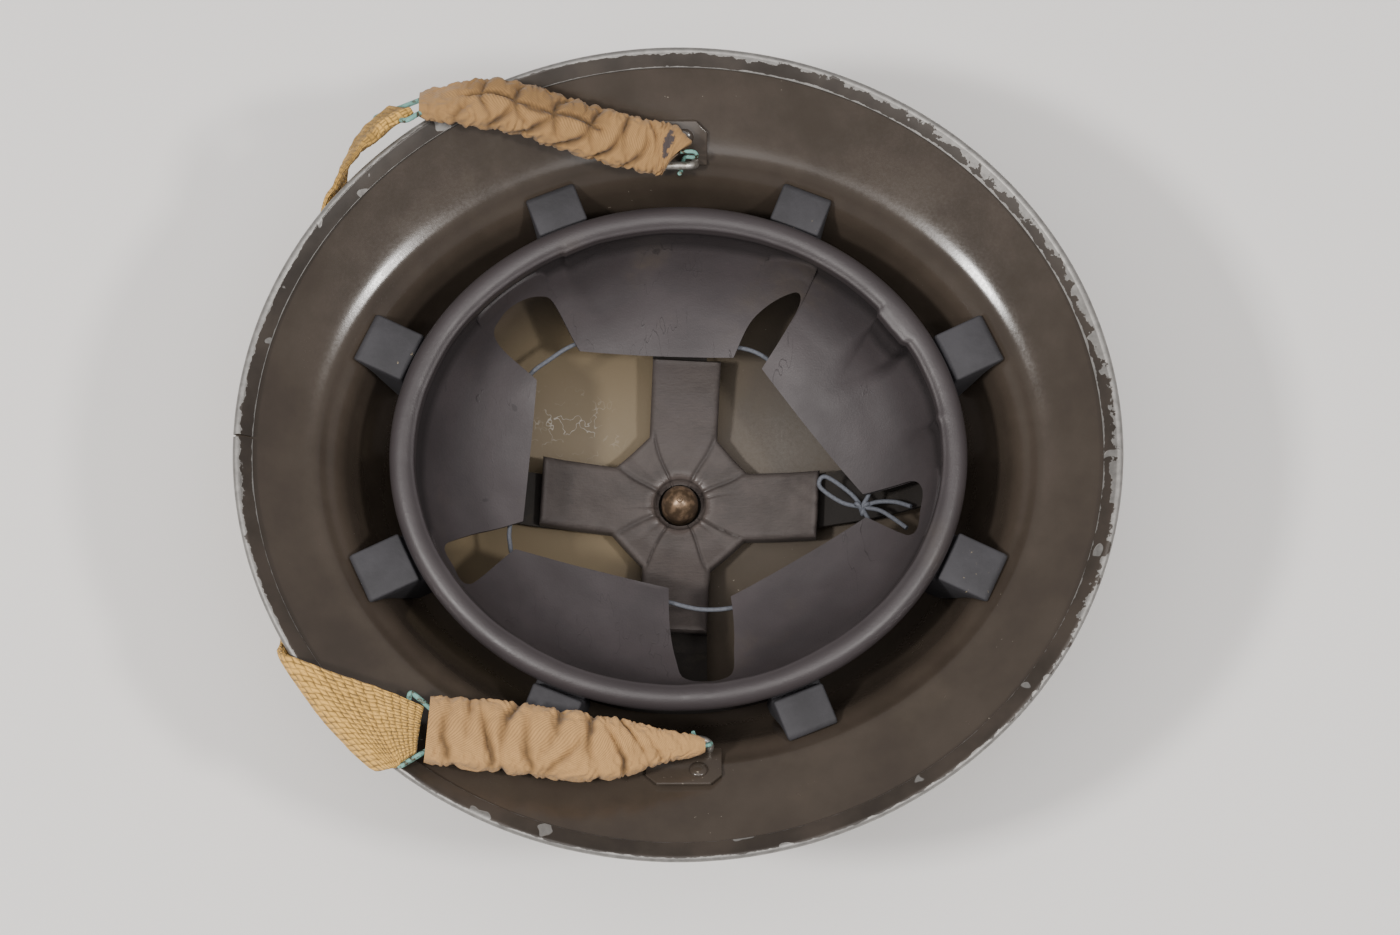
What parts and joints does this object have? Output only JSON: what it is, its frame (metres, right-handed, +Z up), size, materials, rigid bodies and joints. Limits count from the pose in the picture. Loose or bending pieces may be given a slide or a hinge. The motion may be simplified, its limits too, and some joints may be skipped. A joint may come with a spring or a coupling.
{
  "type": "combat helmet",
  "caption": "Shallow pressed-steel combat helmet with a broad brim and edge strip, laced cloth liner on rubber buffers, crown pad and gathered chin strap, lying crown down.",
  "frame": {"origin": "centre of the flat head of the crown screw, where the helmet rests with its hollow up", "axes": "+X from the front of the helmet to the back, +Y to the wearer's left, +Z up out of the hollow"},
  "size_m": [0.3052, 0.287, 0.1285],
  "materials": {
    "shell_paint": "worn semi-gloss dark brown paint",
    "rim_strip": "chipped paint over bare steel",
    "fittings": "worn semi-gloss dark brown paint",
    "nut_bronze": "dull bronze brown",
    "verdigris": "chalky green tarnish",
    "oilcloth": "satin coated cloth",
    "pad_cloth": "dull coated cloth over padding",
    "fibre": "dull pressed fibre",
    "buffer_rubber": "dull grey",
    "sleeve_cloth": "dull twill",
    "webbing": "coarse dull weave",
    "lace": "dull braided cord"
  },
  "bodies": {
    "root": {"shell": "shell_paint", "rim": "rim_strip", "headband": "fibre", "lining": "oilcloth", "buffer_1": "buffer_rubber", "buffer_2": "buffer_rubber", "buffer_3": "buffer_rubber", "buffer_4": "buffer_rubber", "buffer_5": "buffer_rubber", "buffer_6": "buffer_rubber", "buffer_7": "buffer_rubber", "buffer_8": "buffer_rubber", "lace": "lace", "crown_screw": "fittings", "crown_bands": "fibre", "crown_pad": "pad_cloth", "crown_nut": "nut_bronze", "lug_left": "fittings", "lug_rivet_left": "fittings", "strap_hook_left": "verdigris", "strap_sleeve_left": "sleeve_cloth", "strap_link_left": "verdigris", "lug_right": "fittings", "lug_rivet_right": "fittings", "strap_hook_right": "verdigris", "strap_sleeve_right": "sleeve_cloth", "strap_link_right": "verdigris", "strap_webbing": "webbing"}
  },
  "joints": []
}
